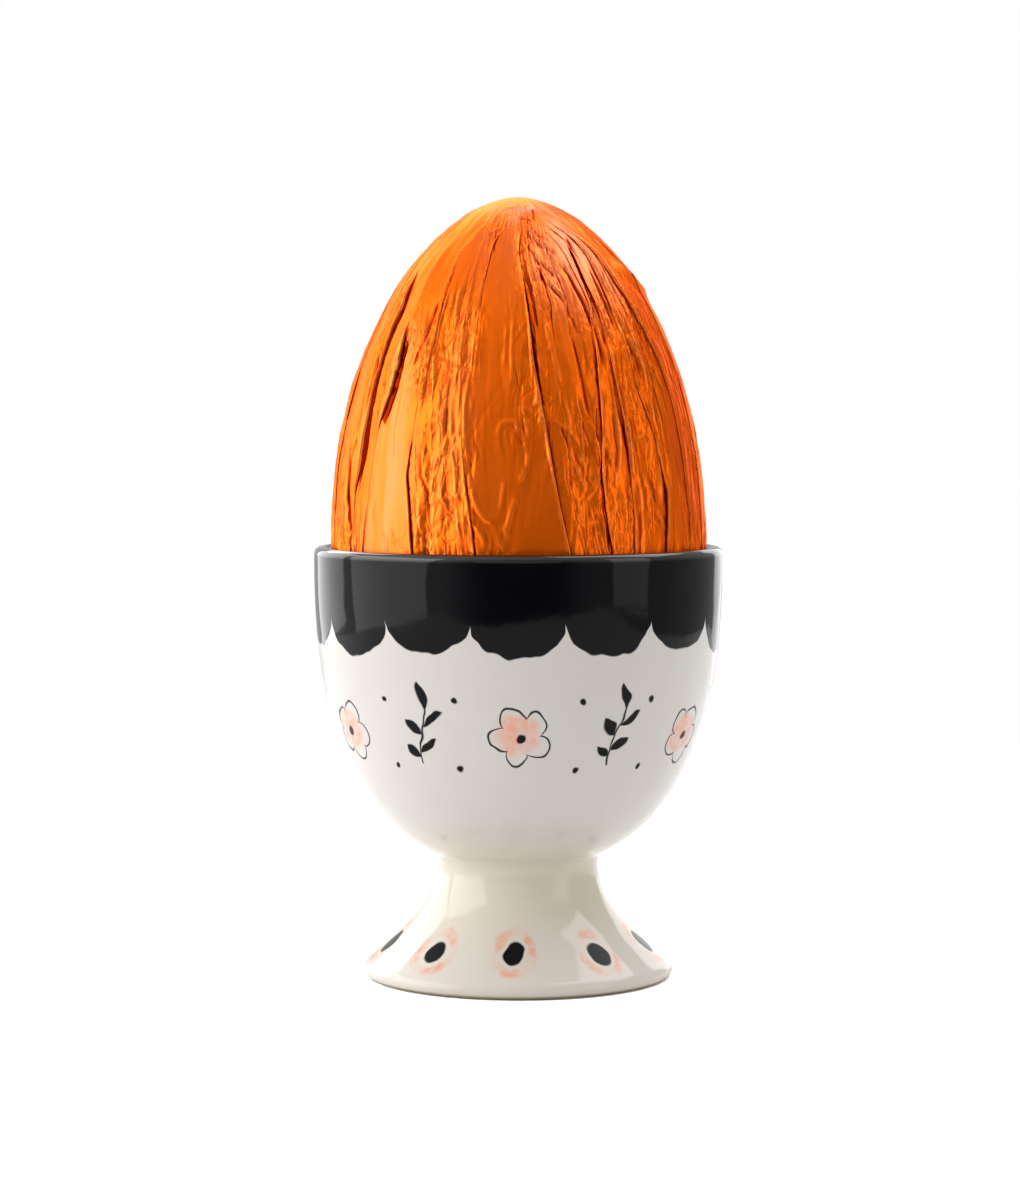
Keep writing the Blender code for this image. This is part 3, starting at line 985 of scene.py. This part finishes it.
def foil_material():
    """Satin orange lacquer over aluminium with hair-fine wrinkles, painted shade down in the creases, and
    painted highlights on the ridges, in places and at the tip.
    """
    nodes = Nodes(bpy.data.materials.new("orange foil"))
    groove_shading, crumpling, highlight_place = (nodes.measure(name) for name in ("groove_shading", "crumpling", "painted_highlight"))
    place = nodes.measure("way", "Vector")
    sway = nodes.noise(nodes.stretched(place, 3, 9), output="Color")
    swayed = nodes.vector("MULTIPLY_ADD", sway, (1.6, 1.6, 0.0), place)
    patch = nodes.noise(nodes.stretched(place, 5, 10), detail=1.0)
    rough_patch = nodes.ramp(patch - 0.5 + crumpling, 0.1, 0.7)

    long_line = nodes.cell_edge(nodes.stretched(swayed, 1.8, 20))
    short_line = nodes.cell_edge(nodes.stretched(swayed, 1.2, 2.8))
    grain = abs(nodes.noise(nodes.stretched(swayed, 0.6, 5)) - 0.5)
    height = nodes.ramp(long_line, 0.0, 0.20) * LONG_LINE_DEPTH
    height = height + nodes.ramp(short_line, 0.0, 0.16) * SHORT_LINE_DEPTH + grain * GRAIN_DEPTH

    # Painted highlights that make the foil paler in places, broken into streaks, and palest at the tip.
    streaks = nodes.noise(nodes.stretched(place, 2.6, 22))
    painted_highlight = highlight_place * nodes.ramp(streaks, 0.36, 0.62, 0.35, 1.15)
    # A painted highlight on the ridges.
    ridge_highlight = nodes.ramp(groove_shading, *RIDGE_HIGHLIGHT) * nodes.ramp(crumpling, 0.2, 1.0, 0.40, 0.65)
    # Painted shade: along the hair-fine wrinkles where the foil is crumpled, and down in the grooves.
    hairline_shade = nodes.ramp(long_line, 0.0, 0.10, 0.35, 0.0) * rough_patch
    painted_shade = nodes.ramp(groove_shading, *SMOOTH_GROOVE_SHADE) * nodes.ramp(crumpling, 0.3, 1.0, 1.0, 0.42)
    painted_shade = nodes.highest(painted_shade, nodes.ramp(groove_shading, *ANY_GROOVE_SHADE), hairline_shade)
    colour = nodes.mix(painted_highlight, FOIL_ORANGE, FOIL_HIGHLIGHT)
    colour = nodes.mix(nodes.ramp(highlight_place, 1.0, 1.7), colour, FOIL_TIP_HIGHLIGHT)
    colour = nodes.mix(ridge_highlight, colour, FOIL_RIDGE_HIGHLIGHT)
    look = {
        "Base Color": nodes.mix(painted_shade, colour, FOIL_CREASE_SHADE),
        "Metallic": 1.0,
        "Roughness": FOIL_ROUGHNESS,
        "Specular Tint": FOIL_EDGE_TINT,
        # The coat is thinner under the painted shade.
        "Coat Weight": painted_shade * -FOIL_COAT + FOIL_COAT,
        "Coat Roughness": FOIL_COAT_ROUGHNESS,
    }
    nodes.surface(look, height * rough_patch)
    return nodes.owner


# The glaze's colours at heights, from the foot up.
GLAZE_TINTS = (
    (4.0, (0.66, 0.605, 0.535, 1)),
    (13.0, (0.64, 0.59, 0.47, 1)),
    (24.0, (0.59, 0.555, 0.525, 1)),
)
BLACK_GLAZE = (0.002, 0.002, 0.003, 1)
CORAL_GLAZE = (0.76, 0.33, 0.21, 1)
CORAL_SHARE = 0.88
BARE_CLAY = (0.36, 0.29, 0.19, 1)

# Heights: the top of the bare clay, where the neck turns into the bowl, and where the lip's shine starts.
CLAY_LINE = 0.5
NECK_END = 19.0
LIP_SHINE = 57.3

# The glaze's relief in millimetres: broad, fine, and the thickness of the black on top.
BROAD_RELIEF = 0.20
FINE_RELIEF = 0.006
BLACK_RELIEF = 0.02

# How far the black band reaches down from the lip, between the scallops and on the inside.
BAND_DEPTH = 8.8
BAND_INSIDE = 3.4
SCALLOPS = 14
SCALLOP_DROP = 4.4
BOWL_REACH = 25.2

FLOWERS = 6
FLOWER_HEIGHT = 34.5
FLOWER_RADIUS = 2.5
FLOWER_LOBES = 1.5
FLOWER_LINE = 0.15
HEART_RADIUS = 0.62
BLOTCH_EDGE = (2.3, 3.6)

# A sprig's leaves: the height of their foot from its middle, their angle from upright and their length.
SPRIG_HEIGHT = 35.0
SPRIG_LEAVES = ((3.2, 4, 3.6), (0.9, 52, 3.4), (-0.2, -50, 3.2), (-2.3, 56, 2.9), (-3.1, -54, 2.6))
LEAF_WIDTH = 0.68
STEM_LINE = 0.14
STEM_REACH = 4.2
DOT_ASIDE = 5.1
DOT_HEIGHTS = (4.4, -4.6)
DOT_RADIUS = 0.42

FOOT_SPOTS = 9
FOOT_TOP = 12.0
SPOT_PLACE = 17.0
SPOT_PHASE = -1.5
SPOT_RADIUS = 1.55
HALO_RADIUS = 2.6
HALO_EDGE = (0.25, 0.85)


class Painter(Nodes):
    """Nodes for brushwork on the cup: places in millimetres, soft-edged masks, repeats round the axis."""

    def __init__(self, name):
        super().__init__(bpy.data.materials.new(name))
        place = self.add("ShaderNodeTexCoord", output="Object")
        self.place = self.vector("MULTIPLY", place, (1 / MM,) * 3)
        x, y, self.true_height = self.split(self.place)
        self.radius = self.length(x, y)
        # A brush wobbles, and what it draws uses these places.
        wobble = self.vector("SUBTRACT", self.noise(self.place, 0.35, 1.0, "Color"), (0.5, 0.5, 0.5))
        x, y, self.height = self.split(self.vector("MULTIPLY_ADD", wobble, (1.5, 1.5, 1.5), self.place))
        self.angle = self.math("ARCTAN2", x, y * -1.0)

    def length(self, x, y):
        return self.math("SQRT", x * x + y * y)

    def inside(self, distance, edge=0.13):
        """1 where a distance is below 0, with a soft edge."""
        return self.ramp(distance, -edge, edge, 1.0, 0.0)

    def around(self, count, start, reach):
        """Distance along the cup from the nearest of a ring of places, and that place's number."""
        turn = self.angle * (count / (2 * math.pi)) + (0.5 - start * count / 360)
        number = self.math("WRAP", self.math("FLOOR", turn), 0.0, float(count))
        return (self.math("FRACT", turn) - 0.5) * (2 * math.pi * reach / count), number

    def chance(self, number, seed):
        """A random number, -0.5 to 0.5, of each numbered place."""
        inputs = {"W": number * 7.31 + seed}
        return self.add("ShaderNodeTexWhiteNoise", inputs, "Value", noise_dimensions="1D") - 0.5

    def leaf(self, x, y, turn, length):
        """An almond-shaped leaf from (x, y) = 0, with its tip at an angle from upright, in degrees."""
        cosine, sine = math.cos(math.radians(turn)), math.sin(math.radians(turn))
        share = (y * cosine + x * sine) * (2 / length) - 1.0
        room = share * share * -LEAF_WIDTH + LEAF_WIDTH
        return self.inside(abs(x * cosine - y * sine) - room)


def bowl_side(paint):
    """1 on the bowl's outside and 0 on its inside."""
    depth = paint.true_height * (-1 / BOWL_DEPTH) + (RIM_HEIGHT - RIM_WALL / 2) / BOWL_DEPTH
    power = paint.math("POWER", paint.highest(depth, 0.0), BOWL_OUTSIDE[0])
    wall = paint.math("POWER", paint.highest(1.0 - power, 0.0), BOWL_OUTSIDE[1])
    middle = wall * RIM_RADIUS - RIM_WALL / 2
    return paint.ramp(paint.radius - middle, -0.2, 0.2)


def paint_band(paint, outside):
    """Black over the lip and down to a scalloped edge."""
    across, number = paint.around(SCALLOPS, 0, 1.0)
    share = across * (SCALLOPS / math.pi)
    swag = paint.math("SQRT", paint.highest(1.0 - share * share, 0.0))
    drop = paint.chance(number, 3.0) * 1.2 + SCALLOP_DROP
    edge = RIM_HEIGHT - (swag * drop + BAND_DEPTH)
    inner = paint.inside(RIM_HEIGHT - BAND_INSIDE - paint.height)
    return paint.highest(paint.inside(edge - paint.height) * outside, inner)


def paint_flowers(paint):
    """A ring of flowers: thin black petals over a soft coral blotch. Returns the black and the coral."""
    across, number = paint.around(FLOWERS, 0, BOWL_REACH)
    x = across + paint.chance(number, 11.0) * 1.2
    y = paint.height - (paint.chance(number, 12.0) * 1.6 + FLOWER_HEIGHT)
    away = paint.length(x, y)
    turn = paint.math("ARCTAN2", x, y) + paint.chance(number, 13.0)
    lobes = paint.math("POWER", abs(paint.math("COSINE", turn * 2.5)), 0.6)
    line = abs(away - (lobes * FLOWER_LOBES + FLOWER_RADIUS))
    petals = paint.inside(line - FLOWER_LINE, 0.10)
    heart = paint.inside(away - HEART_RADIUS)
    blotch = paint.length(x + 0.5, (y - 0.3) * 1.1)
    return paint.highest(petals, heart), paint.ramp(blotch, *BLOTCH_EDGE, 1.0, 0.0)


def paint_sprigs(paint):
    """Black sprigs between the flowers: a thin stem with leaves, and a dot on either side."""
    across, _ = paint.around(FLOWERS, 180 / FLOWERS, BOWL_REACH)
    y = paint.height - SPRIG_HEIGHT
    x = across - paint.math("SINE", y * 0.45) * 0.7
    stem = paint.highest(abs(x) - STEM_LINE, abs(y) - STEM_REACH)
    leaves = [paint.leaf(x, y - low, turn, length) for low, turn, length in SPRIG_LEAVES]
    side = abs(across) - DOT_ASIDE
    dots = [paint.inside(paint.length(side, y - height) - DOT_RADIUS) for height in DOT_HEIGHTS]
    return paint.highest(paint.inside(stem, 0.10), *leaves, *dots)


def paint_foot(paint):
    """Black spots with brushed coral halos round the foot. Returns the black and the coral."""
    across, number = paint.around(FOOT_SPOTS, SPOT_PHASE, SPOT_PLACE)
    x = across + paint.chance(number, 21.0) * 0.9
    y = paint.radius - SPOT_PLACE + paint.chance(number, 22.0) * 0.7
    oval = paint.length(x, y * 1.04)
    spot = paint.inside(oval - (paint.chance(number, 23.0) * 0.25 + SPOT_RADIUS), 0.16)
    halo = paint.ramp(abs(oval - HALO_RADIUS), *HALO_EDGE, 1.0, 0.0)
    turn = paint.math("ARCTAN2", y, x) + paint.chance(number, 24.0) * 3.0
    stroke = paint.ramp(paint.math("SINE", turn * 3.0), -0.9, 0.6, 0.22, 1.0)
    above = paint.ramp(paint.true_height, 1.0, 1.8)
    low = paint.inside(paint.true_height - FOOT_TOP)
    return spot * low, halo * stroke * above * low


def glaze_material():
    """Thick off-white glaze, painted under it by brush, with a line of bare clay under the foot."""
    paint = Painter("painted glaze")
    lowest, colour = GLAZE_TINTS[0]
    for height, tint in GLAZE_TINTS[1:]:
        colour = paint.mix(paint.ramp(paint.true_height, lowest, height), colour, tint)
        lowest = height
    outside = bowl_side(paint)
    bowl = outside * paint.ramp(paint.true_height, NECK_END, NECK_END + 1.0)
    petals, blotches = paint_flowers(paint)
    spots, halos = paint_foot(paint)
    wash = paint.ramp(paint.noise(paint.place, 0.9, 3.0), 0.30, 0.70, 0.35, 1.0)
    coral = paint.highest(blotches * bowl, halos) * wash
    colour = paint.mix(coral * CORAL_SHARE, colour, CORAL_GLAZE)
    strokes = paint.highest(petals, paint_sprigs(paint)) * bowl
    black = paint.highest(strokes, paint_band(paint, outside), spots)
    colour = paint.mix(black, colour, BLACK_GLAZE)
    clay = paint.ramp(paint.true_height, CLAY_LINE - 0.12, CLAY_LINE + 0.12, 1.0, 0.0)
    # The glaze lies thick over the lip, which shines more than the black band below it.
    lip = paint.ramp(paint.true_height, LIP_SHINE - 0.3, LIP_SHINE + 0.3)
    relief = paint.noise(paint.place, 0.11, 1.0) * BROAD_RELIEF
    relief = relief + paint.noise(paint.place, 0.9) * FINE_RELIEF + black * BLACK_RELIEF
    look = {
        "Base Color": paint.mix(clay, colour, BARE_CLAY),
        "Specular IOR Level": lip * 0.6 + (black * -0.36 + 0.5),
        "Roughness": clay * 0.6 + 0.07,
    }
    paint.surface(look, relief)
    return paint.owner


# ---------------- stage

WHITE = (1, 1, 1, 1)
CAMERA_PLACE = (-1.1, -444.0, 77.2)
CAMERA_TILT = 3.39
CAMERA_LENS = 98.8
SENSOR_WIDTH = 36
CLIP_START = 10
CLIP_END = 20000

# The floor shows brighter than the light it throws up, like overexposed white paper.
FLOOR_SIZE = 600
FLOOR_THROWN = (0.86, 0.86, 0.86, 1)
FLOOR_SHOWN = (1.9, 1.9, 1.9, 1)

# The soft lights: place, size and how bright they look. They all face one place on the object.
LIGHT_TARGET = (0, 0, 60)
SOFTBOXES = {
    "left": ((-500, -110, 190), (560, 520), 2.1),
    "left back": ((-430, 400, 190), (460, 460), 2.1),
    "right back": ((270, 560, 130), (280, 380), 1.4),
    "right": ((500, -240, 180), (240, 420), 1.0),
    "front": ((0, -620, 200), (520, 140), 0.36),
    "top": ((240, 130, 520), (420, 440), 2.1),
    "behind": ((-170, 540, 470), (560, 400), 3.2),
}


def stage_object(name, data):
    stage = bpy.data.objects.new(name, data)
    bpy.context.scene.collection.objects.link(stage)
    return stage


def make_camera():
    data = bpy.data.cameras.new("camera")
    data.lens = CAMERA_LENS
    data.sensor_width = SENSOR_WIDTH
    data.clip_start = CLIP_START * MM
    data.clip_end = CLIP_END * MM
    camera = stage_object("camera", data)
    camera.location = Vector(CAMERA_PLACE) * MM
    camera.rotation_euler = (math.radians(90 - CAMERA_TILT), 0, 0)
    bpy.context.scene.camera = camera


def make_softbox(name, place, size, radiance):
    """An area light that faces the target and looks as bright as radiance says."""
    data = bpy.data.lights.new(name, "AREA")
    data.shape = "RECTANGLE"
    data.size, data.size_y = size[0] * MM, size[1] * MM
    data.energy = radiance * math.pi * data.size * data.size_y
    light = stage_object(name, data)
    light.location = Vector(place) * MM
    facing = Vector(LIGHT_TARGET) - Vector(place)
    light.rotation_euler = facing.to_track_quat("-Z", "Y").to_euler()


def make_floor():
    nodes = Nodes(bpy.data.materials.new("floor"))
    nodes.tree.nodes.clear()
    thrown = nodes.add("ShaderNodeBsdfDiffuse", {"Color": FLOOR_THROWN})
    shown = nodes.add("ShaderNodeBsdfDiffuse", {"Color": FLOOR_SHOWN})
    nodes.finish("ShaderNodeOutputMaterial", thrown, shown)
    bpy.ops.mesh.primitive_plane_add(size=FLOOR_SIZE * MM)
    floor = bpy.context.object
    floor.name = "floor"
    floor.data.materials.append(nodes.owner)


def make_world():
    """A surround that is bright on the left and dim on the right, and a plain white backdrop."""
    world = bpy.data.worlds.new("world")
    bpy.context.scene.world = world
    nodes = Nodes(world)
    nodes.tree.nodes.clear()
    x, y, z = nodes.split(nodes.add("ShaderNodeTexCoord", output="Generated"))
    # The room behind the camera is dark, but not its ceiling.
    room = nodes.highest(nodes.ramp(y, -1.0, -0.7, 0.06, 1.0), nodes.ramp(z, -0.20, 0.30, 0.0, 0.56))
    strength = nodes.ramp(x, -0.9, 0.4, 0.95, 0.52) * room + nodes.ramp(z, 0.35, 0.90, 0.0, 0.12)
    around = nodes.add("ShaderNodeBackground", {"Color": WHITE, "Strength": strength})
    backdrop = nodes.add("ShaderNodeBackground", {"Color": WHITE, "Strength": 1.0})
    nodes.finish("ShaderNodeOutputWorld", around, backdrop)


make_foil(foil_material())
make_cup(glaze_material())
make_floor()
make_world()
for name, softbox in SOFTBOXES.items():
    make_softbox(name, *softbox)
make_camera()
bpy.context.scene.view_settings.view_transform = "Standard"
